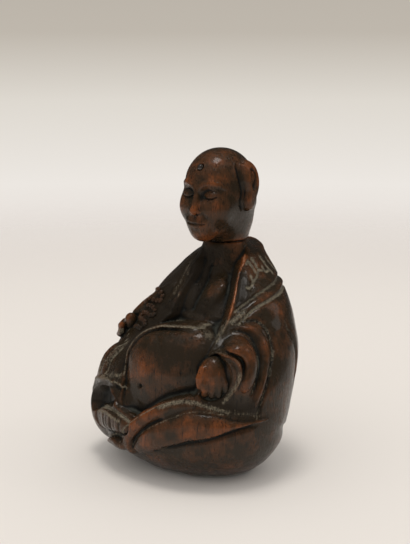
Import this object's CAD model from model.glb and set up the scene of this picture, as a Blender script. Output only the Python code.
# Carved boxwood figure of a seated monk: the wood is sculpted here as distance fields, in millimetres,
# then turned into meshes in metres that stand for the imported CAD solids.
import math
import bpy
import numpy as np
from mathutils import Matrix, Vector


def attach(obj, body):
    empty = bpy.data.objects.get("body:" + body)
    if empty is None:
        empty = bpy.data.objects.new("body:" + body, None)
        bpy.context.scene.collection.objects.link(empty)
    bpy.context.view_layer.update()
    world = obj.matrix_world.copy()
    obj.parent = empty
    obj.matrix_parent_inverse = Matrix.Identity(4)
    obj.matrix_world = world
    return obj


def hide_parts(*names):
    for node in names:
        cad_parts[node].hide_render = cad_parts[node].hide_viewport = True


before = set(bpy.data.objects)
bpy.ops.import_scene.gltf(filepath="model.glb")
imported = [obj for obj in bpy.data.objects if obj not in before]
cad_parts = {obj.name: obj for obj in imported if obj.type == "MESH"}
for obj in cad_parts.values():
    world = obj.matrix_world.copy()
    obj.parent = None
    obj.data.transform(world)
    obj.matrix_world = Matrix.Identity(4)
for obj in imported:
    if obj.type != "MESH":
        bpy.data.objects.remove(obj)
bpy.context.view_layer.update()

corners = [(a, b, c) for a in (0, 1) for b in (0, 1) for c in (0, 1)]


# working tools for the carving
def smoothStep(x):
    x = np.clip(x, 0, 1)
    return x * x * (3 - 2 * x)


def join(a, b, soft=0.0):
    if soft <= 0:
        return np.minimum(a, b)
    h = np.maximum(soft - np.abs(a - b), 0) / soft
    return np.minimum(a, b) - h * h * soft * 0.25


def turned(q, tilt):
    x, y, z = np.radians(tilt)
    rx = np.array([[1, 0, 0], [0, math.cos(x), -math.sin(x)], [0, math.sin(x), math.cos(x)]])
    ry = np.array([[math.cos(y), 0, math.sin(y)], [0, 1, 0], [-math.sin(y), 0, math.cos(y)]])
    rz = np.array([[math.cos(z), -math.sin(z), 0], [math.sin(z), math.cos(z), 0], [0, 0, 1]])
    return q @ (rz @ ry @ rx).astype(np.float32)


def ellipsoid(p, centre, radii, tilt=(0, 0, 0)):
    q = turned(p - np.array(centre, np.float32), tilt)
    r = np.array(radii, np.float32)
    near = np.sqrt(((q / r) ** 2).sum(-1)) + 1e-6
    slope = np.sqrt(((q / r / r) ** 2).sum(-1)) + 1e-6
    return near * (near - 1) / slope


def tube(p, points, radii):
    points = np.array(points, np.float32)
    radii = np.broadcast_to(np.array(radii, np.float32), (len(points),))
    out = np.full(len(p), 99, np.float32)
    for a, b, ra, rb in zip(points[:-1], points[1:], radii[:-1], radii[1:]):
        run = b - a
        t = np.clip((p - a) @ run / max(1e-9, float(run @ run)), 0, 1)
        gap = p - a - t[:, None] * run
        out = np.minimum(out, np.sqrt((gap * gap).sum(-1)) - (ra + (rb - ra) * t))
    return out


def flow(points, steps=6):
    # a smooth run through the points
    p = np.array(points, float)
    q = np.vstack([2 * p[0] - p[1], p, 2 * p[-1] - p[-2]])
    out = []
    for i in range(1, len(q) - 2):
        a, b, c, d = q[i - 1:i + 3]
        for t in np.arange(steps) / steps:
            out.append(0.5 * (2 * b + (c - a) * t + (2 * a - 5 * b + 4 * c - d) * t * t
                              + (3 * b - a - 3 * c + d) * t ** 3))
    out.append(p[-1])
    return np.array(out)


def spline(x, xs, ys):
    # a smooth curve through the heights xs and values ys
    xs, ys = np.asarray(xs, float), np.asarray(ys, float)
    m = np.gradient(ys, xs)
    i = np.clip(np.searchsorted(xs, x) - 1, 0, len(xs) - 2)
    h = xs[i + 1] - xs[i]
    t = np.clip((x - xs[i]) / h, 0, 1)
    return ((2 * t ** 3 - 3 * t ** 2 + 1) * ys[i] + (t ** 3 - 2 * t ** 2 + t) * h * m[i]
            + (3 * t ** 2 - 2 * t ** 3) * ys[i + 1] + (t ** 3 - t ** 2) * h * m[i + 1]).astype(np.float32)


def cornerMix(f, value):
    # the values at a cell's eight corners, mixed by how near each one is
    return sum(abs(1 - a - f[:, 0]) * abs(1 - b - f[:, 1]) * abs(1 - c - f[:, 2]) * value(a, b, c)
               for a, b, c in corners)


def lumps(p, size, seed):
    # smooth seeded noise between -1 and 1, which repeats after so many cells
    cells = 32
    values = np.random.default_rng(seed).uniform(-1, 1, (cells, cells, cells)).astype(np.float32)
    q = p / size + cells // 2
    i = np.floor(q).astype(int)
    f = q - i
    f = f * f * (3 - 2 * f)
    return cornerMix(f, lambda a, b, c: values[tuple((i + (a, b, c)).T % cells)]).astype(np.float32)


class Clay:
    # points in and around the wood, their distance to its surface, and the cuts that change it
    spare = 1.2  # how far beyond a touch its surroundings are worked

    def __init__(self, points, field):
        self.p = points
        self.d = field
        self.charts = {}

    def around(self, centre, reach):
        return np.flatnonzero((np.abs(self.p - np.array(centre, np.float32)) < reach).all(1))

    def add(self, centre, radii, tilt=(0, 0, 0), soft=0.3):
        near = self.around(centre, max(radii) + soft + self.spare)
        self.d[near] = join(self.d[near], ellipsoid(self.p[near], centre, radii, tilt), soft)

    def cut(self, centre, radii, tilt=(0, 0, 0), soft=0.3):
        near = self.around(centre, max(radii) + soft + self.spare)
        self.d[near] = -join(-self.d[near], ellipsoid(self.p[near], centre, radii, tilt), soft)

    def addTube(self, points, radii, soft=0.3):
        points = np.array(points, float)
        low, high = points.min(0), points.max(0)
        near = self.around((high + low) / 2, (high - low) / 2 + np.max(radii) + soft + self.spare)
        self.d[near] = join(self.d[near], tube(self.p[near], points, radii), soft)

    def chart(self, name):
        # flat coordinates on the wood: across, up, and millimetres for one unit across
        if name not in self.charts:
            x, y, z = self.p.T
            one = np.ones_like(x)
            if name == "robe":
                back, over = y - spline(z, *robeMiddle), x - spline(z, *robeShift)
                self.charts[name] = (np.arctan2(over, -back), z, np.hypot(over, back), one > 0)
            elif name == "front":
                self.charts[name] = (x, z, one, y < frontLimit)
            else:
                self.charts[name] = (y, z, one, x > 0)
        return self.charts[name]

    def stroke(self, path, on, reach, closed=False):
        # points near a path: how far off, which side, how far along, and whether inside a closed one
        across, up, scale, valid = self.chart(on)
        path = np.array(path, float)
        if on == "robe":
            path = path * (math.pi / 180, 1)
        path = flow(path)
        if closed:
            path = np.vstack([path, path[:1]])
        low, high = path.min(0), path.max(0)
        side = np.abs(across - (low[0] + high[0]) / 2)
        if on == "robe":
            side = np.minimum(side, np.abs(2 * math.pi - side))
        side = side < (high[0] - low[0]) / 2 + reach / np.maximum(scale, 3)
        near = np.flatnonzero(valid & side & (up > low[1] - reach) & (up < high[1] + reach))
        u, v, s = across[near], up[near], scale[near]
        if on == "robe":
            u = u + 2 * math.pi * np.round((low[0] + high[0] - 2 * u) / (4 * math.pi))
        best = np.full(len(near), 1e9)
        hand = np.ones(len(near))
        along = np.zeros(len(near))
        odd = np.zeros(len(near), bool)
        total = len(path) - 1
        for i, (a, b) in enumerate(zip(path[:-1], path[1:])):
            ax, ay, bx, by = (a[0] - u) * s, a[1] - v, (b[0] - u) * s, b[1] - v
            ex, ey = bx - ax, by - ay
            t = np.clip(-(ax * ex + ay * ey) / np.maximum(ex * ex + ey * ey, 1e-9), 0, 1)
            qx, qy = ax + t * ex, ay + t * ey
            gap = qx * qx + qy * qy
            closer = gap < best
            best = np.where(closer, gap, best)
            hand = np.where(closer, np.sign(ey * qx - ex * qy), hand)  # positive left of the way along
            along = np.where(closer, (i + t) / total, along)
            if closed:
                odd ^= ((a[1] > v) != (b[1] > v)) & (u < (b[0] - a[0]) * (v - a[1]) / (b[1] - a[1] + 1e-12) + a[0])
        return near, np.sqrt(best), hand, along, odd

    def groove(self, path, depth, width, ends=(0.12, 0.12), on="robe"):
        # width is one number, or two: left and right of the path; ends are the shares that fade
        left, right = width if hasattr(width, "__len__") else (width, width)
        near, gap, hand, along, _ = self.stroke(path, on, 3 * max(left, right))
        w = np.where(hand > 0, left, right)
        fade = 1.0
        for share, run in zip(ends, (along, 1 - along)):
            if share > 0:
                fade = fade * smoothStep(run / share)
        self.d[near] += (depth * fade * np.exp(-(gap / w) ** 2)).astype(np.float32)

    def panel(self, outline, depth, edge, round=False, on="robe"):
        # sinks the inside of an outline by depth, or raises it if depth is below nought
        near, gap, _, _, odd = self.stroke(outline, on, edge + 0.5, closed=True)
        inside = np.where(odd, gap, 0) / edge
        amount = np.sqrt(1 - (1 - np.clip(inside, 0, 1)) ** 2) if round else smoothStep(inside)
        self.d[near] += (amount * (depth(self.p[near]) if callable(depth) else depth)).astype(np.float32)


def upsample(field, times, shape):
    for axis in range(3):
        at = np.minimum(np.arange(shape[axis]) / times, field.shape[axis] - 1.001)
        i = at.astype(int)
        f = (at - i).astype(np.float32).reshape([-1 if a == axis else 1 for a in range(3)])
        field = np.take(field, i, axis) * (1 - f) + np.take(field, i + 1, axis) * f
    return field


def gridPoints(low, voxel, index):
    return (np.array(low, np.float32) + np.stack(index, -1) * np.float32(voxel)).astype(np.float32)


def fieldOf(form, low, high, voxel, band=1.1, times=3):
    # coarse everywhere, fine close to the surface only
    shape = np.ceil((np.array(high) - low) / voxel).astype(int) + 1
    rough = np.ceil(shape / times).astype(int) + 1
    index = np.indices(rough).reshape(3, -1)
    coarse = form(gridPoints(low, voxel * times, index)).reshape(rough)
    field = upsample(coarse, times, shape)
    index = np.nonzero(np.abs(field) < band)
    field[index] = form(gridPoints(low, voxel, index))
    return field


def netOf(field, low, voxel):
    # one point in each cell that the surface crosses, and a face across each crossed edge
    inside = field < 0
    across, deep, tall = np.array(inside.shape) - 1
    count = sum(inside[a:across + a, b:deep + b, c:tall + c].astype(np.int8) for a, b, c in corners)
    cells = np.nonzero((count > 0) & (count < 8))
    number = np.full(count.shape, -1, np.int32)
    number[cells] = np.arange(len(cells[0]))
    value = {o: field[cells[0] + o[0], cells[1] + o[1], cells[2] + o[2]] for o in corners}
    total, hits = np.zeros((len(cells[0]), 3), np.float32), np.zeros(len(cells[0]), np.float32)
    for o in corners:
        for axis in range(3):
            if o[axis] == 0:
                e = tuple(1 if a == axis else o[a] for a in range(3))
                a, b = value[o], value[e]
                cross = (a < 0) != (b < 0)
                t = np.where(cross, a / np.where(cross, a - b, 1), 0)
                spot = np.repeat(np.array(o, np.float32)[None], len(t), 0)
                spot[:, axis] += t
                total += np.where(cross[:, None], spot, 0)
                hits += cross
    verts = np.array(low, np.float32) + (np.stack(cells, -1) + total / hits[:, None]) * np.float32(voxel)
    faces = []
    for axis in range(3):
        b, c = [a for a in range(3) if a != axis]
        here = [slice(1, -1)] * 3
        here[axis] = slice(0, -1)
        ahead = list(here)
        ahead[axis] = slice(1, None)
        first, second = inside[tuple(here)], inside[tuple(ahead)]
        at = np.array(np.nonzero(first != second))
        out = first[tuple(at)]
        at[b] += 1
        at[c] += 1
        quad = []
        for sb, sc in ((1, 1), (0, 1), (0, 0), (1, 0)):
            q = at.copy()
            q[b] -= sb
            q[c] -= sc
            quad.append(number[tuple(q)])
        quad = np.stack(quad, -1)
        turn = out if axis != 1 else ~out
        faces.append(np.where(turn[:, None], quad, quad[:, ::-1]))
    return verts, np.concatenate(faces)


def settle(verts, form, step=0.05):
    # moves the points onto the surface and returns their outward normals
    for last in (False, True):
        d = form(verts)
        slope = np.stack([form(verts + np.eye(3, dtype=np.float32)[i] * step) - d for i in range(3)], -1) / step
        length = np.maximum((slope ** 2).sum(-1), 0.2)
        if last:
            return verts, slope / np.sqrt(length)[:, None]
        verts = verts - np.clip(d / length, -0.2, 0.2)[:, None] * slope


def blurred(field, voxel, reach):
    # share of wood around each point: half on a flat face, more in a hollow
    out = np.clip(0.5 - field / voxel, 0, 1).astype(np.float32)
    n = max(1, int(round(reach * 2.2 / voxel)))
    taps = np.exp(-0.5 * (np.arange(-n, n + 1) * voxel / reach) ** 2)
    taps /= taps.sum()
    for axis in range(3):
        size = out.shape[axis]
        pad = [(n, n) if a == axis else (0, 0) for a in range(3)]
        wide = np.pad(out, pad)
        out = sum(np.float32(w) * np.take(wide, np.arange(i, i + size), axis) for i, w in enumerate(taps))
    return out


def sample(grid, low, voxel, p):
    q = np.clip((p - np.array(low, np.float32)) / voxel, 0, np.array(grid.shape) - 1.001)
    i = q.astype(int)
    return cornerMix(q - i, lambda a, b, c: grid[tuple((i + (a, b, c)).T)])


def placed(name, data):
    thing = bpy.data.objects.new(name, data)
    bpy.context.scene.collection.objects.link(thing)
    return thing


def writeMasks(mesh, masks):
    for key, values in masks.items():
        mesh.attributes.new(key, "FLOAT", "POINT").data.foreach_set("value", np.asarray(values, np.float32))


def meshObject(name, verts, faces, masks):
    mesh = bpy.data.meshes.new(name)
    mesh.vertices.add(len(verts))
    mesh.vertices.foreach_set("co", (verts / 1000).astype(np.float32).ravel())
    mesh.loops.add(faces.size)
    mesh.loops.foreach_set("vertex_index", faces.astype(np.int32).ravel())
    mesh.polygons.add(len(faces))
    mesh.polygons.foreach_set("loop_start", np.arange(0, faces.size, 4, dtype=np.int32))
    mesh.polygons.foreach_set("use_smooth", np.ones(len(faces), bool))
    mesh.update(calc_edges=True)
    mesh.validate()
    writeMasks(mesh, masks)
    return placed(name, mesh)


# the robe with the body in it: heights, half widths, half depths, and its middle backwards and sideways
robe = {
    "rows": [(0, 8.8, 5.8, -0.8, 0), (0.7, 11.2, 7.6, -0.9, 0), (1.8, 13.0, 9.1, -1.0, 0), (4, 15.0, 11.0, -1.1, 0),
             (8, 16.4, 12.5, -0.9, -0.1), (12, 16.5, 13.3, 0.1, -0.1), (16, 16.1, 13.1, 1.6, 0.15),
             (20, 15.0, 11.9, 3.4, 0.45), (24, 13.0, 10.0, 5.0, 0.75), (28, 10.6, 8.1, 6.6, 0.55),
             (31, 7.7, 6.6, 8.2, 0.1), (33.5, 5.4, 5.2, 9.3, 0), (35.0, 4.6, 4.8, 9.6, 0)],
    "collarHeight": 34.2, "collarSlope": 14, "collarBack": 13.0, "collarTop": 34.98,
    "hollow": [(22, 3.6), (24.6, 1.7)],  # how deep the opening is cut at the belly and at the chest
    "belly": [((-0.4, -5.5, 16.4), (7.8, 5.8, 6.9), 0.25), ((-1.9, -5.4, 12.0), (6.6, 5.7, 5.9), 2.2),
              ((3.8, -4.6, 17.6), (6.2, 4.9, 6.3), 2.2)],
    "bellyRim": [(-3.9, 9.8), (-4.9, 11.4), (-5.4, 13.4), (-5.8, 15.6), (-6.0, 17.4), (-5.8, 19.2), (-4.9, 20.9),
                 (-3.4, 22.3), (-1.3, 23.2), (1.2, 23.6), (4.0, 23.8), (7.0, 23.6)],
    "unevenness": 0.1, "voxel": 0.24, "box": ((-18.5, -16.0, -1.5), (18.5, 16.5, 36.5)),
}
robeTable = np.array(robe["rows"])
robeMiddle, robeShift = (robeTable[:, 0], robeTable[:, 3]), (robeTable[:, 0], robeTable[:, 4])
frontLimit = 4.0  # nothing behind this is marked from the front


def onRobe(azimuth, height, lift=0.0):
    # a point on the plain robe, degrees round from the front towards the figure's left
    a, b, c, over = (float(spline(height, robeTable[:, 0], robeTable[:, i])) for i in (1, 2, 3, 4))
    s, t = math.sin(math.radians(azimuth)), -math.cos(math.radians(azimuth))
    r = 1 / math.hypot(s / a, t / b) + lift
    return np.array((over + s * r, c + t * r, height))


# carved lines as (degrees round the robe, height)
opening = [(-34, 36), (-22, 33.6), (-14, 32.0), (-11, 30.8), (-12.5, 29.4), (-14.5, 28), (-15.5, 26.5), (-15, 25.0),
           (-17, 23.8), (-23, 22.0), (-28, 19.6), (-31, 16.8), (-31, 13.6), (-26, 11.2), (-15, 10.2), (-5, 9.7),
           (2, 10.8), (13, 12.7), (23, 13.8), (32, 14.4), (38, 14.8), (38.5, 17), (37.5, 19.2), (38, 21.2),
           (40.6, 22.5), (42.4, 23.5), (44.8, 24.8), (46.2, 26.1), (48.1, 27.8), (49.3, 29.2), (52, 30.8),
           (57, 32.0), (69, 33.0), (84, 36)]
carved = {
    "leftLapel": [(75, 33.7), (66, 33.0), (58.5, 32.2), (53, 31.0), (50.2, 29.4), (48.9, 27.8), (47.0, 26.2),
                  (45.6, 24.8), (43.2, 23.5), (41.6, 22.7)],
    "leftLapelBack": [(78, 32.7), (65, 31.8), (58, 30.7), (54.5, 29.2), (53.5, 27.8), (52.5, 26.6)],
    "rightLapel": [(-24, 33.4), (-16.5, 32.0), (-13.2, 30.8), (-14.5, 29.4), (-16.5, 28), (-17.5, 26.5), (-17, 25)],
    "rightLapelFold": [(-40, 33.2), (-32, 31.4), (-30, 29.6), (-31, 28.0), (-33, 26.6)],
    "strapTop": [(50, 25.9), (59, 27.0), (72, 28.2), (94, 29.1), (115, 29.5), (140, 29.3), (165, 28.6), (190, 27.3),
                 (212, 25.6), (232, 23.8), (250, 22.6)],
    "strapBottom": [(54, 24.3), (64, 26.0), (77, 27.0), (96, 27.7), (116, 28.0), (140, 27.8), (165, 27.0),
                    (190, 25.7), (212, 24.0), (232, 22.3), (248, 21.2)],
    "lapRoll": [  # and its radius, and how far it stands out
        (-14.5, 4.7, 1.35, 0.45), (-14, 5.8, 1.6, 0.8), (-9.5, 7.5, 1.5, 0.85), (-1, 9.15, 1.25, 0.65),
        (9, 10.9, 1.05, 0.45), (19, 12.1, 0.9, 0.3), (29, 13.0, 0.7, 0.2), (38, 13.4, 0.35, 0.1),
    ],
    "lapOuter": [(-9, 4.9), (-2, 6.7), (6, 8.3), (18, 10.1), (28, 11.4), (36, 12.2), (46, 12.2), (55, 11.8),
                 (64, 11.2), (76, 11.0), (84, 10.8), (77, 10.5), (65, 10.0), (59, 9.4), (50, 8.5), (39, 7.9),
                 (29, 6.9), (18, 6.0), (6, 4.8), (-3, 4.1)],
    "lapRidge": [(-9, 5.4), (-2, 7.0), (6, 8.55), (18, 10.35), (28, 11.65), (36, 12.45), (46, 12.6), (56, 12.2)],
    "lapFold": [(16, 6.0), (29, 7.0), (39, 8.0), (50, 8.6), (59, 9.5), (66, 10.1), (79, 10.7)],
    "lapFoldLow": [(10, 5.6), (20, 5.6), (29, 5.9), (37, 6.6)],
    "underRoll": [(-44, 3.2), (-36, 4.3), (-28, 5.2), (-21, 5.3)],
    "sleeveInner": [(45, 22.3), (49.5, 22.9), (55, 22.9), (60.5, 22.3), (64.2, 21.0), (66.2, 19.6), (66.6, 18.2),
                    (66.2, 16.8), (64.6, 15.7), (62.0, 15.5), (59.4, 16.2), (58.3, 17.2), (58.4, 18.2),
                    (57.4, 19.6), (54, 20.6), (49, 21.2), (45, 21.4)],
    "sleeveOuter": [(53, 24.1), (58, 24.3), (63, 24.2), (67.5, 23.8), (71.5, 22.8), (75.0, 21.0), (76.2, 19.4),
                    (75.8, 17), (74.6, 14.6), (72.8, 12.8), (70.4, 13.6), (70.0, 15.4), (70.0, 17.4), (69.9, 19.6),
                    (67.9, 21.8), (63.4, 23.2), (58, 23.6)],
    "sleeveGroove": [(48, 23.2), (52, 23.4), (56, 23.3), (62, 22.8), (66.3, 21.4), (68.6, 19.5), (68.7, 17.5),
                     (68.4, 15.6), (67, 14.0)],
    "sleeveEdge": [(52, 24.3), (59, 24.7), (67, 24.6), (74, 23.5), (78, 21.4), (79.2, 19.6), (78.4, 17),
                   (77.2, 14.4), (76, 12.2), (75.5, 11.2)],
    "sleeveRibs": [[(60, 24.0), (65, 23.7), (69.5, 22.6), (73, 20.8), (74, 19)],
                   [(72.6, 18.6), (72.2, 16.6), (71.6, 14.8)]],
    "cave": [(44.5, 22.0), (48, 21.8), (52.6, 21.3), (56.2, 20.4), (58.0, 19.0), (57.6, 17.8), (56.0, 18.9),
             (53.0, 20.3), (48.5, 21.0), (44.5, 21.2)],
    "cuff": [(36, 20.2), (40, 20.9), (45, 21.1), (50, 20.7), (54, 19.6), (56.4, 18.0), (56.6, 16.2), (55.6, 14.8),
             (54.4, 13.9)],
    "handPocket": [(34, 18.8), (37, 20.1), (41, 20.6), (47, 20.4), (52, 19.0), (54.6, 17.0), (54.2, 15.2),
                   (51.6, 14.2), (45, 13.9), (38, 14.8), (34, 16.6)],
    "hemArch": [(-66, 9.0), (-64, 11.2), (-57, 12.7), (-48, 13.5), (-38, 13.9), (-30, 14.0), (-22, 13.4)],
    "underHem": [(-62, 8.8), (-60, 10.8), (-53, 12.2), (-45, 12.9), (-36, 13.1), (-29, 12.4), (-25, 11.2),
                 (-27, 10.2), (-33, 9.9), (-41, 9.2), (-52, 7.9), (-57, 7.2)],
    "backGroove": [(90, 24.2), (95, 22.6), (103, 20.2), (108, 17.6), (110, 15.0), (108.5, 12.6)],
}
carved["strapBand"] = ([(51, 25.0)] + [(a, z - 0.3) for a, z in carved["strapTop"][1:-1]] + [(249, 22.3), (248, 21.5)]
                       + [(a, z + 0.3) for a, z in carved["strapBottom"][-2:0:-1]] + [(55, 24.7)])
panels = {  # outline: depth (raised if below nought), width of the edge, rounded or not
    "cave": (0.9, 0.5), "handPocket": (0.5, 0.5), "sleeveInner": (-0.75, 1.5, True),
    "sleeveOuter": (-0.65, 1.3, True), "strapBand": (-0.08, 0.4), "underHem": (1.5, 1.1),
}
grooves = {  # line: depth (raised if below nought), width or widths left and right of it, how its ends fade
    "lapRidge": (-0.2, (0.12, 0.3), (0.1, 0.2)), "lapFold": (0.42, (0.22, 0.6)), "lapFoldLow": (0.22, (0.16, 0.5)),
    "sleeveGroove": (0.26, 0.18), "sleeveEdge": (0.42, (0.16, 0.34)), "cuff": (-0.42, 0.2),
    "leftLapel": (-0.3, 0.15, (0.2, 0.15)), "leftLapelBack": (0.16, (0.6, 0.5)),
    "rightLapel": (-0.12, 0.2), "rightLapelFold": (0.16, (0.3, 0.8)),
    "strapTop": (0.38, (0.14, 0.26), (0.02, 0.1)), "strapBottom": (0.38, (0.26, 0.14), (0.02, 0.1)),
    "hemArch": (-0.26, 0.24), "underRoll": (-0.35, 0.5), "backGroove": (0.4, (0.25, 0.7), (0.2, 0.3)),
}
chestLines = [  # seen from the front: path, depth, width
    ([(0.5, 32.2), (0.9, 30.0), (1.1, 28.0), (1.0, 26.0), (1.0, 24.8)], 0.5, 0.42),  # breastbone
    ([(1.4, 32.8), (1.3, 31.2), (0.9, 29.6)], -0.18, 0.3),
    ([(-1.6, 32.6), (-2.2, 31.0), (-2.6, 29.6)], -0.2, 0.3),
    ([(-0.8, 32.6), (-0.9, 30.6), (-0.6, 28.6)], 0.22, 0.35),
    ([(2.6, 32.4), (3.6, 30.8), (4.9, 29.6)], 0.2, 0.5),  # collar bone
    ([(-4.4, 25.4), (-2.4, 24.9), (0, 24.9), (2.4, 24.8), (4.6, 24.6)], 0.3, 0.5),  # under the breasts
]
drapes = [  # hanging folds: path, depth, width left and right of it
    ([(122, 27.2), (127, 23.4), (133, 18.6), (135, 13.6), (132, 9.6)], 0.30, (0.9, 0.3)),
    ([(148, 26.9), (153, 21.4), (158, 15.6), (160, 10.0)], 0.26, (0.9, 0.3)),
    ([(171, 25.6), (176, 20.4), (184, 14.6), (189, 9.6)], 0.30, (0.9, 0.3)),
    ([(196, 24.4), (204, 18.6), (212, 13.4), (216, 9.0)], 0.26, (0.9, 0.3)),
    ([(221, 22.2), (231, 17.4), (238, 12.8), (240, 9.4)], 0.28, (0.8, 0.3)),
    ([(-112, 20.6), (-106, 17.0), (-101, 13.6), (-101, 10.4)], 0.26, (0.3, 0.9)),
    ([(-90, 24.4), (-85, 21.4), (-80, 18.0), (-79, 14.4), (-81, 11.4)], 0.3, (0.3, 0.9)),
    ([(-76, 20.4), (-71, 18.0), (-68, 15.6), (-69, 13.2)], 0.26, (0.3, 0.7)),
    ([(84, 10.6), (98, 8.6), (120, 7.0), (150, 6.4), (180, 6.3), (210, 6.6), (236, 7.6), (256, 9.0), (274, 10.6),
      (290, 11.4)], 0.30, (0.3, 1.1)),
    ([(-58, 26.2), (-66, 24.6), (-72, 22.4)], 0.22, (0.3, 0.5)),
    ([(-45, 19.6), (-50, 17.4), (-53.5, 15.2), (-55, 13.4)], 0.46, (0.22, 0.34)),
    ([(-41.5, 19.2), (-46, 17.2), (-48.5, 15.4), (-49.5, 14.0)], 0.46, (0.22, 0.34)),
    ([(-38, 18.6), (-41.5, 16.9), (-43, 15.4), (-43.5, 14.4)], 0.32, (0.22, 0.3)),
    ([(-49, 20.2), (-55, 17.8), (-58.5, 15.4), (-60, 13.0)], 0.46, (0.22, 0.4)),
    ([(-54, 20.6), (-60, 18.2), (-63.5, 15.6), (-65, 13.0)], 0.28, (0.25, 0.5)),
]
leaves = [  # scratched on the left shoulder
    [(63, 31.9), (67, 32.2), (71, 31.6), (73, 30.8)], [(66, 30.4), (69, 29.7), (74, 30.2), (79, 31.0), (83, 30.9)],
    [(73, 32.6), (77, 31.9), (78, 31.0)], [(88, 32.7), (93, 32.2), (98, 31.0), (100, 30.2)],
    [(86, 31.4), (90, 30.6), (94, 30.7)], [(60.5, 29.0), (64, 28.9), (67, 29.4)],
    [(104, 32.4), (110, 31.4), (112, 30.4)], [(118, 31.0), (124, 31.6), (129, 30.9)],
]
foot = {
    "at": (-31, 7.4), "reach": 7.5, "voxel": 0.12,
    "outline": [(-56, 6.6), (-52, 8.3), (-41, 9.5), (-27, 10.1), (-14, 9.8), (-7, 9.3), (-6, 8.1), (-10, 6.9),
                (-22, 6.4), (-36, 5.9), (-50, 5.1), (-55, 5.4)],
    "toeLines": [(-51, 0.08), (-46.5, 0.22), (-42.5, 0.08), (-37, 0.26), (-32.5, 0.1), (-27.5, 0.28), (-22, 0.08),
                 (-17, 0.26), (-12.5, 0.08)],  # azimuth, depth
}


def robeField(p):
    # distance to the plain robe
    x, y, z = p.T
    a, b, c, over = (spline(z, robeTable[:, 0], robeTable[:, i]) for i in (1, 2, 3, 4))
    x = x - over
    near = np.sqrt((x / a) ** 2 + ((y - c) / b) ** 2) + 1e-6
    above, below = (spline(z + lift, robeTable[:, 0], robeTable[:, 1]) for lift in (0.25, -0.25))
    slope = (above - below) * 2
    level = near * (near - 1) / (np.sqrt((x / a / a) ** 2 + ((y - c) / b / b) ** 2) + 1e-6)
    return level / np.sqrt(1 + slope * slope)


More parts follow.
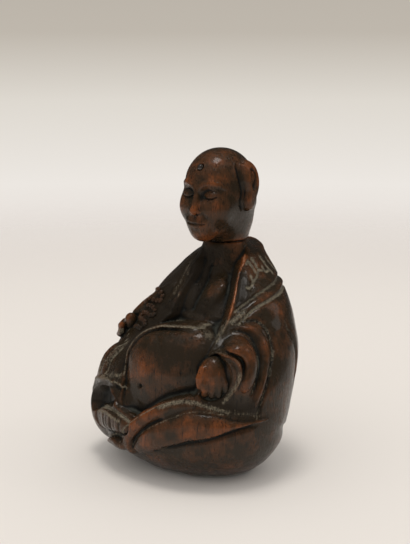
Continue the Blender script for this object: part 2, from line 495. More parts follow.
def bodyForm(p):
    clay = Clay(p, robeField(p))
    x, y, z = p.T
    lean = math.radians(robe["collarSlope"])
    collar = (robe["collarHeight"] - z) * math.cos(lean) + (y - robe["collarBack"]) * math.sin(lean)
    clay.d = -join(-clay.d, collar, 0.5)
    # swellings under the cloth: right knee, left elbow, right arm, right thigh and shin
    clay.add((-11.8, -4.2, 8.0), (4.9, 6.0, 6.6), soft=1.0)
    clay.add((12.2, -5.0, 18.2), (2.8, 2.9, 4.8), soft=1.6)
    arm = [onRobe(-40, 27.6, -1.2), onRobe(-50, 25.7, -0.8), onRobe(-58, 23.9, -0.3), onRobe(-62, 22.5, -0.1)]
    clay.addTube(arm, [1.1, 1.3, 1.25, 1.15], soft=0.5)
    clay.add(onRobe(-50, 16.0, -1.8), (2.8, 2.5, 3.1), (0, 0, -50), soft=0.9)
    clay.add(onRobe(-58, 13.4, -1.9), (3.2, 2.7, 4.0), (0, 0, -58), soft=1.8)
    clay.add(onRobe(-36, 4.8, -1.2), (4.4, 2.1, 1.5), (0, 0, -36), soft=0.5)
    # the opening, with the slope beside the belly, the neck, both breasts and the belly in it
    clay.panel(opening, lambda q: np.interp(q[:, 2], *zip(*robe["hollow"])), 0.5)
    slope = [onRobe(-33, 20.5, -2.6), onRobe(-35, 17, -2.2), onRobe(-34, 13, -2.2), onRobe(-28, 10.6, -2.4)]
    clay.addTube(slope, 1.9, soft=1.6)
    clay.addTube([(0, 7.3, 29), (0, 7.7, 33.4), (0, 7.76, 36)], [4.5, 3.7, 3.2], soft=2.6)
    clay.add((-0.9, 0.35, 27.1), (1.3, 0.9, 2.7), (-40, 0, 10), soft=0.7)
    clay.add((3.3, 0.75, 27.9), (1.7, 0.8, 2.6), (-42, 0, -10), soft=1.3)
    for path, depth, width in chestLines:
        clay.groove(path, depth, width, on="front")
    # the left nipple is a ring, the right one a short line
    ring = [(3.1 + 0.42 * math.cos(t), 26.5 + 0.4 * math.sin(t)) for t in np.linspace(0, 2 * math.pi, 9)]
    clay.groove(ring, 0.22, 0.15, ends=(0, 0), on="front")
    clay.groove([(-2.8, 26.3), (-2.5, 26.15)], 0.22, 0.22, ends=(0, 0), on="front")
    # the belly, its rim and creases
    for middle, radii, soft in robe["belly"]:
        clay.add(middle, radii, soft=soft)
    clay.groove(robe["bellyRim"], -0.3, 0.2, ends=(0.1, 0.15), on="front")
    crease = [(a * 0.93, b - 0.35 - max(0, b - 20) * 0.05) for a, b in robe["bellyRim"]]
    clay.groove(crease, 0.24, (0.22, 0.16), ends=(0.1, 0.15), on="front")
    clay.groove([(-1.2, 23.2), (-0.2, 22.4), (0.8, 21.4), (1.6, 20.2)], 0.12, 0.5, on="front")
    clay.cut((-1.5, -11.3, 14.6), (0.38, 0.45, 0.3), soft=0.35)  # navel
    # lap, with the rolled edge of the cloth over it
    clay.panel(carved["lapOuter"], -0.75, 1.7, round=True)
    roll = flow([(*onRobe(a, z, out - r), r) for a, z, r, out in carved["lapRoll"]], 4)
    clay.addTube(roll[:, :3], roll[:, 3], soft=0.2)
    clay.groove([(a + 2.5, z - r * 1.02) for a, z, r, out in carved["lapRoll"][1:6]], 0.34, (0.3, 0.22))
    # folds, lapels, strap and hem
    for name, shape in panels.items():
        clay.panel(carved[name], *shape)
    for name, shape in grooves.items():
        clay.groove(carved[name], *shape)
    for rib in carved["sleeveRibs"]:
        clay.groove(rib, 0.12, 0.14, ends=(0.3, 0.3))
    for leaf in leaves:
        clay.groove(leaf, 0.26, (0.2, 0.28), ends=(0.3, 0.4))
    for a in np.arange(52, 59, 1.6):  # notches at the strap's end
        clay.groove([(a - 1.6, 25.4 + (a - 52) * 0.1), (a + 1.4, 24.9 + (a - 52) * 0.2)], 0.2, 0.13, ends=(0, 0))
    for path, depth, width in drapes:
        clay.groove(path, depth, width, ends=(0.2, 0.25))
    clay.panel(foot["outline"], 0.7, 0.5)
    clay.groove([(a, z - 0.75) for a, z in carved["hemArch"][1:]], 0.3, (0.5, 0.25))
    clay.groove([(a, z + 0.75) for a, z in carved["underRoll"]], 0.3, 0.25)
    clay.d += lumps(p, 3.1, 5) * robe["unevenness"] + lumps(p, 1.3, 8) * robe["unevenness"] * 0.35
    near = np.flatnonzero(z > robe["collarTop"] - 2)
    clay.d[near] = -join(-clay.d[near], robe["collarTop"] - z[near], 0.2)
    return -join(-clay.d, z, 0.5)


dusting = [  # path round the robe, width, amount
    ([(-17.5, 5.6), (-12, 7.7), (-5, 9.4), (2, 10.7), (13, 12.5), (23, 13.6), (32, 14.1), (39, 14.0)], 0.13, 0.95),
    ([(16, 12.6), (24, 13.5), (32, 13.9), (40, 13.7), (50, 13.1), (58, 12.6)], 0.42, 0.85),
    ([(50, 13.1), (60, 12.5), (70, 12.0), (77, 11.5)], 0.4, 0.55), (carved["lapRidge"], 0.16, 0.7),
    ([(-15.5, 2.6), (-19, 4.0), (-18.5, 6.0), (-12, 7.9), (-5, 9.5)], 0.22, 0.6), (carved["lapFold"], 0.2, 0.4),
    ([(40, 22.2), (43, 23.6), (46, 24.8)], 0.5, 0.8), (foot["outline"][1:6], 0.26, 1.1),
    ([(-50, 8.0), (-40, 8.9), (-28, 9.3), (-16, 9.0)], 0.4, 0.75), (carved["strapTop"], 0.2, 1.35),
    (carved["strapBottom"], 0.2, 1.35), ([(48.5, 24.6), (53, 25.3), (57, 25.9)], 0.55, 0.95),
    (carved["sleeveEdge"], 0.3, 0.65), (carved["sleeveGroove"], 0.3, 0.5),
    ([(55.5, 18.6), (56.5, 17.0), (55.6, 15.2), (54, 14)], 0.45, 0.85),
    ([(36, 20.4), (44, 21.3), (52, 20.4), (56, 18.6)], 0.28, 0.5), (carved["leftLapelBack"], 0.3, 0.4),
    (carved["backGroove"], 0.25, 0.6), (carved["hemArch"], 0.2, 1.1),
    ([(-58, 13.4), (-50, 15), (-44, 17), (-40, 19)], 1.2, 0.6), ([(-46, 13.8), (-38, 14.6), (-30, 15)], 0.7, 0.7),
    ([(-44, 4.0), (-36, 5.1), (-28, 6.0), (-21, 6.0)], 0.25, 0.8),
    ([(-36, 31.5), (-28, 29.8), (-24, 27.4)], 0.6, 0.6), ([(-24, 31.4), (-18, 29.6), (-16, 27)], 0.3, 0.5),
]
dusting += [(leaf, 0.24, 1.25) for leaf in leaves]
dusting += [(path, 0.2, 1.15 if -60 < path[0][0] < 0 else 0.45) for path, depth, width in drapes]
dustySpots = [((6.7, -5.2, 22.3), 1.3, 1.1), ((0.6, 1.4, 28.4), 0.7, 0.45), ((4.9, 0.4, 26.8), 0.7, 0.5),
              ((-3.4, -1.6, 24.8), 0.9, 0.5), ((1.0, -2.6, 24.6), 1.0, 0.45)]
polished = [(carved["leftLapel"][1:7], 0.13, 2.4), (carved["leftLapel"][6:9], 0.14, 1.3),
            ([(-62, 22.8), (-56, 24.6), (-48, 26.4)], 0.6, 0.8)]
sooted = [  # places that no hand reaches: path round the robe, width, amount
    ([(4, 33), (8, 30), (14, 27)], 2.2, 0.5), ([(-6, 32), (-4, 29), (-4, 26)], 1.4, 0.25),
    ([(-44, 31), (-34, 28), (-26, 25)], 2.0, 0.45), ([(52, 17), (58, 14), (70, 13)], 1.6, 0.35),
    (carved["rightLapel"], 0.9, 0.75), ([(-10, 31), (-2, 29), (6, 26), (2, 24)], 1.6, 0.35),
    ([(30, 27), (36, 24), (40, 20), (36, 16)], 1.8, 0.45), ([(-20, 24), (-30, 20), (-33, 14)], 1.2, 0.4),
    ([(-62, 9.4), (-50, 11.4), (-34, 11.6)], 1.6, 0.9), ([(44, 14), (60, 13), (76, 12.5)], 1.0, 0.4),
    ([(-52, 26.5), (-44, 24.5), (-38, 22)], 2.6, 0.6), ([(54, 30.4), (56, 28.8), (55, 27.2)], 1.1, 1.0),
]
rubbedRobe = [  # places that hands have polished red: place on the robe, reach, amount
    ((55, 22.2), 1.6, 0.95), ((61.5, 19.6), 1.8, 1.1), ((63, 16.4), 1.6, 0.5), ((64, 23.8), 1.3, 0.6),
    ((72.5, 20.4), 1.7, 0.7), ((85, 26), 2.6, 0.35), ((43, 18.0, 1), 2.2, 1.5), ((41, 15.6, 1), 1.4, 0.9),
    ((8, 7.6), 2.2, 0.7), ((22, 8.8), 2.4, 0.7), ((38, 10), 2.6, 0.6), ((54, 10.2), 2.2, 0.5),
    ((-12, 5.6), 2.0, 0.65), ((-4, 8.6), 1.8, 0.75), ((8, 11.2), 1.7, 0.55), ((36, 6), 2.6, 0.35),
    ((56, 8), 2.4, 0.5), ((60, 31.6), 1.7, 0.5), ((74, 31.4), 1.8, 0.6), ((-60, 24.2, 0.5), 1.5, 0.7),
    ((-66, 20.6, 0.8), 1.5, 0.8), ((-36, 3.6), 1.4, 0.7), ((-60, 12), 2.4, 0.3), ((120, 20), 4, 0.4),
    ((160, 12), 4, 0.35), ((205, 22), 4, 0.45), ((250, 14), 4, 0.4), ((-96, 8), 3, 0.35), ((150, 30), 3, 0.4),
]
rubbedHead = [  # the same on both sides of the head
    ((2.8, 1.4, 41.0), 1.8, 0.7), ((0.9, 0.2, 39.35), 0.8, 0.9), ((5.3, 7.6, 46.2), 1.8, 0.7),
    ((2.4, 1.2, 45.2), 1.2, 0.5),
]
rubbed = [((-1.2, -10.9, 17.6), 2.6, 0.65), ((-3.6, -10.5, 15.4), 1.8, 0.4), ((1.0, -11.0, 16.0), 4.6, 0.3),
          ((3.0, 0.0, 28.2), 1.5, 0.95), ((-2.0, 0.0, 27.7), 1.7, 0.8), ((0, -0.2, 41.0), 1.1, 0.8),
          ((1.2, 2.6, 48.6), 2.4, 0.4), ((0, 1.0, 37.0), 1.6, 0.4), ((0, 12.0, 45), 3, 0.3)]
rubbed += [(onRobe(*place), reach, amount) for place, reach, amount in rubbedRobe]
rubbed += [((x * side, y, z), reach, amount) for (x, y, z), reach, amount in rubbedHead for side in (-1, 1)]


def painted(verts):
    # dust and rubbing at each point; soot is rubbing below nought
    clay = Clay(verts, None)
    dust, rub = np.zeros(len(verts)), np.zeros(len(verts))

    def brush(path, width, reach=3):
        near, gap, _, _, _ = clay.stroke(path, "robe", reach * width)
        return near, np.exp(-(gap / width) ** 2)

    for layer, strokes, spots in ((dust, dusting, dustySpots), (rub, polished, rubbed)):
        for path, width, amount in strokes:
            near, touch = brush(path, width)
            layer[near] = np.maximum(layer[near], amount * touch)
        for point, reach, amount in spots:
            near = clay.around(point, reach * 2.2)
            gap = ((verts[near] - np.array(point, np.float32)) ** 2).sum(-1)
            layer[near] = np.maximum(layer[near], amount * np.exp(-gap / reach ** 2))
    for path, width, amount in sooted:
        near, touch = brush(path, width, 2)
        rub[near] -= amount * touch
    # dust along the belly's rim, where it shows
    near, gap, _, _, _ = clay.stroke(robe["bellyRim"], "front", 0.6)
    front = (verts[near, 1] < -2.5) & (verts[near, 1] > -10.7)
    dust[near] = np.maximum(dust[near], front * np.exp(-(gap / 0.17) ** 2))
    belowHead = verts[:, 2] < head["underside"] - 0.06
    return {"dusted": dust * belowHead, "rubbed": np.where(belowHead, rub, np.maximum(rub, 0))}


def localTo(centre, azimuth, tilt=(0, 0, 0)):
    # turns points into a piece's own frame: across to the figure's left, inwards, up
    def place(p):
        q = turned(p - np.array(centre, np.float32), (0, 0, azimuth))
        return turned(q, tilt) if any(tilt) else q
    return place


# each hand: place on the robe, how far it stands out, and the fingers from the figure's right or from the top
leftHand = {"at": (45.5, 17.2), "lift": -0.5, "reach": 5.0, "voxel": 0.11, "width": 4.8, "drawnWidth": 4.9,
            "fingers": ((2.7, 0.56), (3.1, 0.6), (3.2, 0.6), (2.8, 0.56)), "spacing": 1.08}
rightHand = {"at": (-63.5, 20.4), "lift": 0.8, "reach": 4.5, "voxel": 0.11, "size": 1.18, "tilt": (0, 38, 0),
             "fingers": (0.42, 0.46, 0.44, 0.4), "spacing": 0.64}


def leftHandForm(p):
    # the back of a hanging hand with four fused fingers and a thumb
    q = localTo(onRobe(*leftHand["at"], leftHand["lift"]), leftHand["at"][0])(p)
    w = leftHand["width"] / leftHand["drawnWidth"]
    clay = Clay(q, np.full(len(q), 9, np.float32))
    clay.add((0, 0.1, 0.7), (2.45 * w, 2.2, 2.6), soft=0.1)
    fingers = np.full(len(q), 9, np.float32)
    for i, (length, fat) in enumerate(leftHand["fingers"]):
        c = (leftHand["spacing"] * (i - 1.5)) * w
        bend = [(c * 0.8, -1.0, 0.6), (c * 0.98, -1.42, -0.4), (c, -1.45, -1.3), (c * 0.98, -1.15, -length * 0.72),
                (c * 0.94, -0.45, -length)]
        fingers = join(fingers, tube(q, bend, [fat, fat * 1.05, fat, fat * 0.95, fat * 0.8]), 0.2)
    clay.d = join(clay.d, fingers, 0.7)
    clay.addTube([(-1.7, -0.9, 1.6), (-2.35, -1.2, 0.4), (-2.3, -1.3, -0.8)], [0.7, 0.6, 0.5], soft=0.3)
    clay.add((0, 0.4, -1.2), (2.0 * w, 1.6, 2.4), soft=0.3)
    clay.d += lumps(p, 1.4, 21) * 0.05
    return clay.d


def rightHandForm(p):
    # a fist: wrist, ball of the hand, four curled fingers and the thumb
    centre = onRobe(*rightHand["at"], rightHand["lift"])
    q = localTo(centre, rightHand["at"][0], rightHand["tilt"])(p) / np.float32(rightHand["size"])
    clay = Clay(q, np.full(len(q), 9, np.float32))
    clay.add((0.1, 1.5, 1.2), (1.05, 1.0, 1.7), soft=0.1)
    clay.add((-0.1, 0.9, -0.8), (1.3, 1.45, 1.7), soft=0.6)
    for i, fat in enumerate(rightHand["fingers"]):
        h = 0.15 - rightHand["spacing"] * i
        curl = [(1.15, 0.8, h + 0.1), (0.75, -0.15, h), (-0.1, -0.42, h - 0.06), (-0.9, -0.05, h - 0.1),
                (-1.2, 0.7, h - 0.12)]
        clay.addTube(curl, fat, soft=0.24)
    thumb = [(0.95, 0.3, 1.6), (1.2, 0.1, 0.7), (1.1, -0.3, -0.2), (0.65, -0.65, -0.9)]
    clay.addTube(thumb, [0.45, 0.5, 0.46, 0.4], soft=0.18)
    clay.d += lumps(p, 1.4, 22) * 0.05
    return clay.d * np.float32(rightHand["size"])


def footForm(p):
    # the robe's own curve, raised inside the foot's outline and cut with toes
    clay = Clay(p, robeField(p) + 0.5)
    clay.panel(foot["outline"], -1.35, 1.3, round=True)
    for a, depth in foot["toeLines"]:
        clay.groove([(a + 3.0, 9.5), (a + 1.2, 8.3), (a, 6.8), (a - 0.6, 4.6)], depth, 0.2, ends=(0.3, 0))
    clay.groove([(-52, 7.9), (-41, 9.0), (-27, 9.6), (-14, 9.3)], -0.14, 0.3)
    clay.d += lumps(p, 1.5, 23) * 0.06
    middle = [onRobe(a, z, -0.8) for a, z in ((-50, 6.8), (-40, 7.4), (-28, 7.8), (-12, 7.8))]
    limit = tube(p, middle, 2.5)
    return -join(-clay.d, -limit, 0.3)


head = {  # heights are the figure's own; the ear's outlines are (y, height from its top)
    "voxel": 0.13, "box": ((-6.8, -2.0, 34.4), (6.8, 13.6, 51.0)),
    "skull": ((0, 6.3, 44.05), (5.4, 5.95, 5.9)),
    "eyeHeight": 42.9, "eyeSpacing": 4.3, "noseBase": 40.1, "mouthHeight": 38.45, "browHeight": 44.75,
    "mouthWidth": 3.3, "earTop": 48.2, "underside": 35.26,
    "ear": [(5.6, -0.6), (6.8, 0.1), (8.2, -0.2), (9.3, -1.3), (9.5, -3.0), (9.0, -4.7), (8.2, -6.1), (7.6, -7.3),
            (6.7, -8.0), (5.8, -7.6), (5.5, -6.3), (5.7, -4.7), (5.2, -3.2), (5.2, -1.8)],
    "earHollow": [(6.2, -1.5), (7.3, -0.85), (8.3, -1.4), (8.6, -2.8), (8.0, -4.3), (7.1, -4.9), (6.5, -4.3),
                  (6.1, -3.0)],
    "earLines": [  # the ridge inside it, and the creases before and behind it: path, depth, width, faded ends
        ([(7.3, -1.5), (7.9, -2.4), (7.4, -3.5)], -0.26, 0.26, (0.2, 0.3)),
        ([(5.1, -0.1), (4.75, -2.4), (5.1, -4.6), (4.95, -6.4), (5.5, -7.9)], 0.32, (0.2, 0.3), (0.15, 0.15)),
        ([(9.4, -0.6), (9.9, -2.6), (9.3, -4.8), (8.0, -6.9)], 0.25, 0.3, (0.15, 0.15)),
    ],
}
inlay = {"at": (0, 1.45, 47.2), "radius": 0.5, "gap": 0.12}


def headForm(p):
    x, y, z = p.T
    side = p * np.array((-1, 1, 1), np.float32)
    side[:, 0] = np.abs(x)  # both halves alike
    clay = Clay(side, ellipsoid(p, *head["skull"]))
    clay.add((0, 4.9, 40.6), (4.75, 4.9, 5.0), soft=1.8)  # face
    clay.add((0, 2.5, 37.5), (2.6, 2.1, 1.9), soft=1.4)  # jaw
    clay.addTube([(0, 7.7, 35), (0, 7.9, 41)], [3.6, 4.75], soft=1.4)  # neck
    clay.add((0, 7.6, 38.6), (4.1, 4.2, 3.4), soft=1.0)
    eye, brow, nose, mouth = head["eyeHeight"], head["browHeight"], head["noseBase"], head["mouthHeight"]
    out, half, top = head["eyeSpacing"] / 2, head["mouthWidth"] / 2, head["earTop"]
    # sockets, cheeks and brow
    clay.cut((out, 0.15, eye + 0.1), (1.75, 0.85, 1.15), soft=1.0)
    clay.add((2.6, 2.4, nose + 0.7), (1.9, 1.5, 2.0), soft=1.6)
    clay.addTube([(0.5, 0.7, brow - 0.75), (1.2, 0.68, brow - 0.1), (2.3, 1.0, brow + 0.2), (3.4, 1.75, brow - 0.1),
                  (4.0, 2.5, brow - 0.6)], [0.22, 0.26, 0.26, 0.22, 0.12], soft=0.6)
    # lids: closed and full
    clay.add((out, 1.85, eye - 0.05), (1.35, 1.25, 0.95), soft=0.3)
    clay.groove([(out - 1.3, eye - 0.02), (out - 0.7, eye - 0.34), (out, eye - 0.48), (out + 0.7, eye - 0.38),
                 (out + 1.4, eye + 0.02)], 0.22, (0.16, 0.1), ends=(0.1, 0.1), on="front")
    clay.groove([(out - 1.2, eye + 0.4), (out - 0.5, eye + 0.85), (out + 0.4, eye + 0.9), (out + 1.4, eye + 0.35)],
                0.1, 0.16, ends=(0.2, 0.2), on="front")
    # nose
    clay.addTube([(0, 0.9, brow - 0.5), (0, 0.45, eye), (0, -0.05, nose + 1.2), (0, -0.3, nose + 0.55)],
                 [0.5, 0.46, 0.52, 0.62], soft=0.5)
    clay.add((0, -0.2, nose + 0.42), (0.62, 0.5, 0.5), soft=0.3)
    clay.add((0.78, 0.42, nose + 0.3), (0.5, 0.65, 0.44), soft=0.25)
    clay.cut((0.42, 0.05, nose - 0.12), (0.22, 0.4, 0.2), soft=0.15)
    clay.groove([(1.35, nose + 0.4), (1.75, nose - 0.4), (1.95, nose - 1.2)], 0.14, 0.3, ends=(0.2, 0.4), on="front")
    # mouth
    clay.add((0, 1.3, mouth - 0.05), (2.2, 1.15, 1.25), soft=0.9)
    clay.addTube([(0, 0.24, mouth + 0.3), (0.4, 0.22, mouth + 0.38), (half * 0.7, 0.5, mouth + 0.2),
                  (half, 0.95, mouth + 0.06)], [0.26, 0.28, 0.22, 0.1], soft=0.2)
    clay.addTube([(0, 0.3, mouth - 0.4), (half * 0.45, 0.4, mouth - 0.37), (half * 0.8, 0.8, mouth - 0.14)],
                 [0.36, 0.32, 0.14], soft=0.2)
    clay.groove([(-0.02, mouth), (0.35, mouth + 0.04), (half * 0.75, mouth), (half + 0.2, mouth + 0.18)],
                0.2, 0.1, ends=(0, 0.15), on="front")
    clay.groove([(0, nose - 0.35), (0, mouth + 0.75)], 0.1, 0.2, ends=(0.1, 0.1), on="front")
    clay.groove([(0, mouth - 1.05), (0.9, mouth - 1.0)], 0.14, 0.4, ends=(0, 0.4), on="front")
    clay.add((0, 2.1, 36.75), (1.6, 1.4, 1.1), soft=1.0)
    # long ears lying close to the head
    clay.panel([(y, top + z) for y, z in head["ear"]], -0.95, 0.75, round=True, on="left")
    clay.panel([(y, top + z) for y, z in head["earHollow"]], 0.62, 0.55, on="left")
    for path, depth, width, ends in head["earLines"]:
        clay.groove([(y, top + z) for y, z in path], depth, width, ends, on="left")
    clay.d += lumps(p, 2.2, 31) * 0.05
    # socket for the inlay, and the flat underside that turns on the neck
    clay.d = -join(-clay.d, ellipsoid(p, inlay["at"], (inlay["radius"] + inlay["gap"],) * 3), 0.1)
    return -join(-clay.d, z - head["underside"], 0.3)


class Link:
    # a node's output that can be used in sums
    def __init__(self, finish, socket):
        self.finish, self.socket = finish, socket

    def __add__(self, other):
        return self.finish.sum("ADD", self, other)

    def __sub__(self, other):
        return self.finish.sum("SUBTRACT", self, other)

    def __rsub__(self, other):
        return self.finish.sum("SUBTRACT", other, self)

    def __mul__(self, other):
        return self.finish.sum("MULTIPLY", self, other)

    __radd__, __rmul__ = __add__, __mul__


class Nodes:
    # a tree of nodes, made one call at a time
    def __init__(self, tree):
        self.tree = tree

    def node(self, kind, settings={}, inputs={}, out=0):
        node = self.tree.nodes.new(kind)
        for key, value in settings.items():
            if key == "stops":
                ramp = node.color_ramp.elements
                while len(ramp) < len(value):
                    ramp.new(0.5)
                for stop, (at, colour) in zip(ramp, value):
                    stop.position, stop.color = at, colour
            else:
                setattr(node, key, value)
        for key, value in inputs.items():
            self.feed(node.inputs[key], value)
        return None if out is None else Link(self, node.outputs[out])

    def feed(self, socket, value):
        if isinstance(value, Link):
            self.tree.links.new(value.socket, socket)
        else:
            socket.default_value = value

    def sum(self, operation, *values):
        return self.node("ShaderNodeMath", {"operation": operation}, dict(enumerate(values)))

    def step(self, value, low, high):
        inputs = {"Value": value, "From Min": low, "From Max": high}
        return self.node("ShaderNodeMapRange", {"interpolation_type": "SMOOTHSTEP"}, inputs, out="Result")

    def mix(self, share, first, second):
        inputs = {6: first, 7: second}
        inputs = {key: value if isinstance(value, Link) else (*value, 1) for key, value in inputs.items()}
        return self.node("ShaderNodeMix", {"data_type": "RGBA"}, {0: share, **inputs}, out=2)


class Finish(Nodes):
    # one material; place is the point on the piece in millimetres
    def __init__(self, name):
        self.material = bpy.data.materials.new(name)
        self.material.use_nodes = True
        super().__init__(self.material.node_tree)
        self.shader = self.tree.nodes["Principled BSDF"]
        metres = self.node("ShaderNodeTexCoord", out="Object")
        self.place = self.node("ShaderNodeVectorMath", {"operation": "SCALE"}, {0: metres, "Scale": 1000.0})

    def stretched(self, amounts, turn=(0, 0, 0)):
        return self.node("ShaderNodeMapping", {}, {"Vector": self.place, "Rotation": turn, "Scale": amounts})

    def noise(self, place, scale, detail=3.0, roughness=0.55):
        inputs = {"Vector": place, "Scale": scale, "Detail": detail, "Roughness": roughness}
        return self.node("ShaderNodeTexNoise", {}, inputs, out="Fac")

    def mask(self, name):
        return self.node("ShaderNodeAttribute", {"attribute_name": name}, out="Fac")

    def set(self, **inputs):
        for key, value in inputs.items():
            self.feed(self.shader.inputs[key.replace("_", " ")], value)
        return self.material


wood = {
    "shadow": (0.0060, 0.0058, 0.0046), "umber": (0.0215, 0.0138, 0.0068), "brown": (0.054, 0.0235, 0.0095),
    "rust": (0.148, 0.0445, 0.0125), "bare": (0.46, 0.20, 0.10),
    "dust": (0.25, 0.205, 0.14), "greyDust": (0.075, 0.078, 0.060),
    "patches": 0.24, "blotches": 0.8, "grain": 3.0, "streaks": 4.2, "specks": 4.6,  # how many to a millimetre
    "gloss": 0.24, "specular": 0.15, "coat": 0.24, "coatGloss": 0.1,
    "grainDepth": 0.10, "poreDepth": 0.10, "speckDepth": 0.07, "dustDepth": 0.06,
}


def woodFinish(name, rust=1.0, dust=1.0, turn=(0, 0, 0)):
    f = Finish(name)
    hollow, worn, ledge = f.mask("hollow"), f.mask("worn"), f.mask("ledge")
    patches = f.noise(f.place, wood["patches"], 3, 0.5)
    blotches = f.noise(f.place, wood["blotches"], 4, 0.6)
    grain = f.noise(f.stretched((1, 1, 0.13), turn), wood["grain"], 5, 0.62)
    streaks = f.noise(f.stretched((1, 1, 0.09), turn), wood["streaks"], 3, 0.6)
    specks = f.noise(f.place, wood["specks"], 4, 0.65)
    # worn high places go red, low places go dark
    height = (worn * 0.75 + f.mask("rubbed") * 0.85 + (patches - 0.5) * 2.3 + (blotches - 0.5) * 1.5
              + (grain - 0.5) * 0.8)
    colour = f.mix(f.step(height, -0.05, 0.6), wood["umber"], wood["brown"])
    colour = f.mix(f.step(height, 0.5, 1.35) * rust, colour, wood["rust"])
    colour = f.mix(f.step(height + (specks - 0.5) * 0.8, 1.5, 2.4) * 0.8, colour, wood["bare"])
    colour = f.mix(f.step(hollow + (blotches - 0.5) * 0.6, 0.08, 0.6), colour, wood["shadow"])
    pores = f.step(streaks, 0.58, 0.68) * f.step(patches, 0.36, 0.6)
    colour = f.mix(pores * 0.75, colour, wood["shadow"])
    colour = f.mix(f.step(specks, 0.60, 0.74) * 0.6, colour, wood["shadow"])
    soot = f.step(f.mask("rubbed") * -1, 0.1, 0.9)
    colour = f.mix(soot * 0.3, colour, wood["shadow"])
    # pale dust that wiping left behind
    film = (hollow * 0.5 + ledge * 0.7) * dust + (blotches - 0.5) * 0.9 + (specks - 0.5) * 0.8
    film = f.step(film, 0.4, 1.2)
    lines = f.mask("dusted") * dust + (specks - 0.5) * 1.5 + (grain - 0.5) * 0.9 + (blotches - 0.5) * 0.8
    lines = f.step(lines, 0.4, 1.1)
    colour = f.mix(film * 0.5, colour, wood["greyDust"])
    colour = f.mix(lines * 0.85, colour, f.mix(f.step(specks, 0.35, 0.65), wood["greyDust"], wood["dust"]))
    # dust, soot and hollows have no polish
    dusty = f.sum("MAXIMUM", film * 0.6, lines)
    dull = f.sum("MAXIMUM", soot, f.step(hollow, 0.1, 0.7))
    rough = dusty * 0.4 + (blotches - 0.5) * 0.3 + (specks - 0.5) * 0.25 + dull * 0.25 + wood["gloss"]
    relief = (grain * wood["grainDepth"] + pores * -wood["poreDepth"] + specks * wood["speckDepth"]
              + dusty * specks * wood["dustDepth"])
    bump = f.node("ShaderNodeBump", {}, {"Strength": 1.0, "Distance": 0.001, "Height": relief})
    polish = (1 - dusty) * (1 - dull * 0.8) * wood["coat"]
    return f.set(Base_Color=colour, Roughness=rough, Normal=bump, Coat_Weight=polish,
                 Coat_Roughness=wood["coatGloss"], Specular_IOR_Level=wood["specular"])


print("finishes")
woods = {
    "robedBody": woodFinish("oldWood"), "monkHead": woodFinish("headWood", turn=(0.1, 0.05, 0.3)),
    "leftHand": woodFinish("handWood", rust=1.15), "rightHand": woodFinish("fistWood"),
    "leftFoot": woodFinish("footWood", rust=0.8, dust=1.2), "prayerBeads": woodFinish("beadWood", rust=0.2, dust=1.5),
}


def carvePiece(name, form, low, high, voxel, around, body, node):
    verts, faces = netOf(fieldOf(form, low, high, voxel), low, voxel)
    verts, normals = settle(verts, form)
    masks = masksOf(around or stockOf(form, low, high, voxel), verts, normals) | painted(verts)
    piece = meshObject(name, verts, faces, masks)
    piece.data.materials.append(woods[name])
    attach(piece, body)
    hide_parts(node)
    print(name, len(verts), "points")


def stockOf(form, low, high, voxel):
    # the share of wood close to each place, near it, and further round it
    field = fieldOf(form, low, high, voxel)
    coarse = field[::3, ::3, ::3]
    return [(blurred(field, voxel, 0.4), low, voxel), (blurred(field, voxel, 1.0), low, voxel),
            (blurred(coarse, voxel * 3, 2.4), low, voxel * 3)]


def rise(value, gain):
    return np.clip(value * gain, 0, 1)


def masksOf(stock, verts, normals):
    # a flat face has a half share of wood round it, a hollow more and an edge less
    fine, mid = (sample(*stock[i], verts) for i in (0, 1))
    wide = sample(*stock[2], verts + normals * 0.3)
    hollow = rise(fine - 0.53, 3.2) + rise(mid - 0.52, 2.2) + rise(wide - 0.5, 1.6)
    worn = rise(0.5 - fine, 2.2) + rise(0.49 - mid, 2.6) + rise(0.44 - wide, 0.9)
    ledge = rise(normals[:, 2], 1) * rise((mid - 0.48) * 3.5 + (wide - 0.46) * 2.0, 1)
    return {"hollow": np.clip(hollow, 0, 1.5), "worn": worn, "ledge": ledge}


limbReach = 8  # further off than this, a limb isn't felt
limbs = {  # form, sizes, CAD node and slot
    "leftHand": (leftHandForm, leftHand, "left_hand", "hand_wood"),
    "rightHand": (rightHandForm, rightHand, "right_hand", "hand_wood"),
    "leftFoot": (footForm, foot, "left_foot", "foot_wood"),
}


def groupForm(p):
    # the body with its limbs, so that dirt gathers between them
    d = bodyForm(p)
    for form, sizes, _, _ in limbs.values():
        near = np.flatnonzero((np.abs(p - onRobe(*sizes["at"]).astype(np.float32)) < limbReach).all(1))
        d[near] = np.minimum(d[near], form(p[near]))
    return d


print("carving")
low, high = np.array(robe["box"])
bodyStock = stockOf(groupForm, low, high, robe["voxel"])
carvePiece("robedBody", bodyForm, low, high, robe["voxel"], bodyStock, "body", "robed_body")
for name, (form, sizes, node, slot) in limbs.items():
    middle = onRobe(*sizes["at"])
    low, high = middle - sizes["reach"], middle + sizes["reach"]
    carvePiece(name, form, low, high, sizes["voxel"], bodyStock, "body", node)
low, high = np.array(head["box"])
carvePiece("monkHead", headForm, low, high, head["voxel"], None, "head", "head")

# a string of prayer beads, carved where it hangs from the right hand
beads = {
    "size": 0.92, "spacing": 0.98, "variation": 0.12, "seed": 11, "sink": 0.45,
    "path": [(-50, 26.6), (-44, 26.7), (-38, 26.5), (-34, 25.9), (-39, 25.6), (-46, 25.6), (-52, 25.2), (-53, 24.6),
             (-47, 24.6), (-40, 24.6), (-33, 24.3), (-32, 23.6), (-39, 23.6), (-46, 23.6), (-52, 23.2), (-51, 22.6),
             (-44, 22.6), (-37, 22.6), (-31, 22.2), (-33, 21.6), (-40, 21.7), (-46, 21.5)],
}


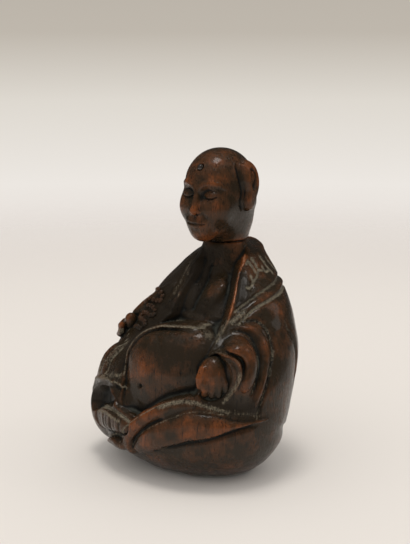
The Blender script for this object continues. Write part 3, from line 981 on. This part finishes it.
def beadString():
    tree = bpy.data.node_groups.new("beadString", "GeometryNodeTree")
    sockets = {}
    for name, kind in (("Path", "Geometry"), ("Bead Size", "Float"), ("Spacing", "Float"), ("Variation", "Float"),
                       ("Seed", "Int"), ("Finish", "Material")):
        socket = tree.interface.new_socket(name, in_out="INPUT", socket_type="NodeSocket" + kind)
        sockets[name] = socket.identifier
    tree.interface.new_socket("Beads", in_out="OUTPUT", socket_type="NodeSocketGeometry")
    g = Nodes(tree)
    given = {name: g.node("NodeGroupInput", out=name) for name in sockets}
    thread = g.node("GeometryNodeMeshToCurve", {}, {"Mesh": given["Path"]})
    spots = g.node("GeometryNodeCurveToPoints", {"mode": "LENGTH"}, {"Curve": thread, "Length": given["Spacing"]},
                   out="Points")
    bead = g.node("GeometryNodeMeshIcoSphere", {}, {"Radius": given["Bead Size"] * 0.5, "Subdivisions": 3})
    spread = {2: 1 - given["Variation"], 3: given["Variation"] + 1, "Seed": given["Seed"]}
    sizes = g.node("FunctionNodeRandomValue", {"data_type": "FLOAT"}, spread, out=1)
    string = g.node("GeometryNodeInstanceOnPoints", {}, {"Points": spots, "Instance": bead, "Scale": sizes})
    smooth = g.node("GeometryNodeSetShadeSmooth", {}, {0: g.node("GeometryNodeRealizeInstances", {}, {0: string})})
    finished = g.node("GeometryNodeSetMaterial", {}, {"Geometry": smooth, "Material": given["Finish"]})
    g.node("NodeGroupOutput", {}, {0: finished}, out=None)
    return tree, sockets


points = np.array([onRobe(a, z) for a, z in flow(beads["path"], 4)], np.float32)
for _ in range(5):  # down onto the carved sleeve
    points, normals = settle(points, bodyForm)
points = points + normals * (beads["size"] / 2 - beads["sink"])
wire = bpy.data.meshes.new("prayerBeads")
links = [(i, i + 1) for i in range(len(points) - 1)]
wire.from_pydata([tuple(float(v) / 1000 for v in q) for q in points], links, [])
rosary = placed("prayerBeads", wire)
tree, sockets = beadString()
threading = rosary.modifiers.new("beadString", "NODES")
threading.node_group = tree
settings = {"Bead Size": beads["size"] / 1000, "Spacing": beads["spacing"] / 1000, "Variation": beads["variation"],
            "Seed": beads["seed"], "Finish": woods["prayerBeads"]}
for name, value in settings.items():
    threading[sockets[name]] = value
made = bpy.data.meshes.new_from_object(rosary.evaluated_get(bpy.context.evaluated_depsgraph_get()))
rosary.modifiers.remove(threading)
rosary.data = made
where, out = (np.empty(len(made.vertices) * 3, np.float32) for _ in range(2))
made.vertices.foreach_get("co", where)
made.vertex_normals.foreach_get("vector", out)
where, out = where.reshape(-1, 3) * 1000, out.reshape(-1, 3)
writeMasks(made, masksOf(bodyStock, where, out) | painted(where))
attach(rosary, "body")
print("prayerBeads", len(made.vertices), "points")

# the inlay on the brow
bpy.ops.mesh.primitive_uv_sphere_add(segments=32, ring_count=20, radius=inlay["radius"] / 1000)
dot = bpy.context.object
dot.name = "browInlay"
dot.data.transform(Matrix.Translation(Vector(inlay["at"]) / 1000))
dot.location = (0, 0, 0)
dot.data.polygons.foreach_set("use_smooth", np.ones(len(dot.data.polygons), bool))
f = Finish("darkInlay")
cloud = f.noise(f.place, 2.4, 4)
dark = f.mix(cloud, (0.012, 0.010, 0.009), (0.03, 0.022, 0.016))
dot.data.materials.append(f.set(Base_Color=dark, Roughness=cloud * 0.2 + 0.14, Coat_Weight=0.6, Coat_Roughness=0.08))
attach(dot, "head")
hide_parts("urna_inlay")

# the hidden peg keeps its solid
f = Finish("pegWood")
ring = f.noise(f.stretched((1, 1, 0.1)), 2.5, 4)
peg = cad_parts["neck_dowel"].data
peg.materials.clear()
pale = f.mix(ring, (0.16, 0.09, 0.045), (0.30, 0.19, 0.10))
peg.materials.append(f.set(Base_Color=pale, Roughness=ring * 0.2 + 0.5))

# floor, light and camera
print("studio")
studio = {  # the floor fades out between two distances in millimetres
    "floor": (0.775, 0.735, 0.69), "fade": (110.0, 300.0), "air": (1, 0.98, 0.96, 1), "world": 0.76, "mirrored": 0.06,
    "lamps": {  # place, size, power, colour
        "overhead": ((0.0, -0.02, 0.42), 0.12, 0.52, (1, 0.97, 0.93)),
        "window": ((-0.05, -0.38, 0.30), 0.80, 0.32, (0.98, 0.98, 1)),
        "behind": ((0.26, 0.22, 0.28), 0.12, 0.08, (1, 0.98, 0.95)),
    },
    # colours from low to high
    "backdrop": [(0.0, (0.76, 0.70, 0.66, 1)), (0.175, (0.84, 0.80, 0.755, 1)), (0.36, (0.73, 0.69, 0.63, 1)),
                 (0.51, (0.52, 0.475, 0.415, 1)), (1.0, (0.40, 0.365, 0.315, 1))],
}

floor = bpy.data.meshes.new("floor")
floor.from_pydata([(-4, -4, 0), (4, -4, 0), (4, 4, 0), (-4, 4, 0)], [], [(0, 1, 2, 3)])
floor = placed("floor", floor)
f = Finish("paper")
away = f.node("ShaderNodeVectorMath", {"operation": "LENGTH"}, {0: f.place}, out="Value")
paper = f.mix(f.noise(f.place, 0.004, 2), studio["floor"], tuple(c * 0.985 for c in studio["floor"]))
floor.data.materials.append(f.set(Base_Color=paper, Roughness=0.9, Specular_IOR_Level=0.1,
                                  Alpha=1 - f.step(away, *studio["fade"])))

# the pivot is seen at that pixel of the frame
view = {"azimuth": 40.0, "elevation": 15.0, "distance": 174.0, "fov": 28.0,
        "pivot": (0, 0, 22.0), "pixel": (195.0, 326.0), "frame": (410, 544)}
a, e = math.radians(view["azimuth"]), math.radians(view["elevation"])
towards = Vector((math.sin(a) * math.cos(e), -math.cos(a) * math.cos(e), math.sin(e)))
side = towards.cross(Vector((0, 0, -1))).normalized()
above = side.cross(-towards)
halfWide, halfHigh = (n / 2 for n in view["frame"])
pixel = view["distance"] * math.tan(math.radians(view["fov"]) / 2) / halfHigh  # its size at the pivot
aim = (Vector(view["pivot"]) - side * (view["pixel"][0] - halfWide) * pixel
       - above * (halfHigh - view["pixel"][1]) * pixel)
spot = Vector(view["pivot"]) + towards * view["distance"]
lens = bpy.data.cameras.new("camera")
lens.sensor_fit, lens.angle, lens.clip_start = "VERTICAL", math.radians(view["fov"]), 0.001
camera = placed("camera", lens)
camera.location = spot / 1000
camera.rotation_euler = (aim - spot).to_track_quat("-Z", "Y").to_euler()
bpy.context.scene.camera = camera


def softLight(name, place, size, power, colour):
    lamp = bpy.data.lights.new(name, "AREA")
    lamp.size, lamp.energy, lamp.color = size, power, colour
    light = placed(name, lamp)
    light.location = place
    light.rotation_euler = (Vector((0, 0, 0.02)) - Vector(place)).to_track_quat("-Z", "Y").to_euler()


for name, settings in studio["lamps"].items():
    softLight(name, *settings)

# the room lights the figure, its shine mirrors a darker one, and the camera sees the backdrop
sky = bpy.data.worlds.new("room")
sky.use_nodes = True
bpy.context.scene.world = sky
w = Nodes(sky.node_tree)
height = w.node("ShaderNodeSeparateXYZ", {}, {0: w.node("ShaderNodeTexCoord", out="Generated")}, out="Z")
shown = w.node("ShaderNodeValToRGB", {"stops": studio["backdrop"]}, {0: height * 2.5 + 0.5})
room = w.node("ShaderNodeBackground", {}, {"Color": studio["air"], "Strength": studio["world"]})
seen = w.node("ShaderNodeBackground", {}, {"Color": shown})
mirrored = w.node("ShaderNodeBackground", {}, {"Color": studio["air"], "Strength": studio["mirrored"]})
lit = w.node("ShaderNodeMixShader", {}, {0: w.node("ShaderNodeLightPath", out="Is Glossy Ray"), 1: room, 2: mirrored})
both = w.node("ShaderNodeMixShader", {}, {0: w.node("ShaderNodeLightPath", out="Is Camera Ray"), 1: lit, 2: seen})
w.feed(sky.node_tree.nodes["World Output"].inputs["Surface"], both)

bpy.context.scene.view_settings.view_transform = "Standard"
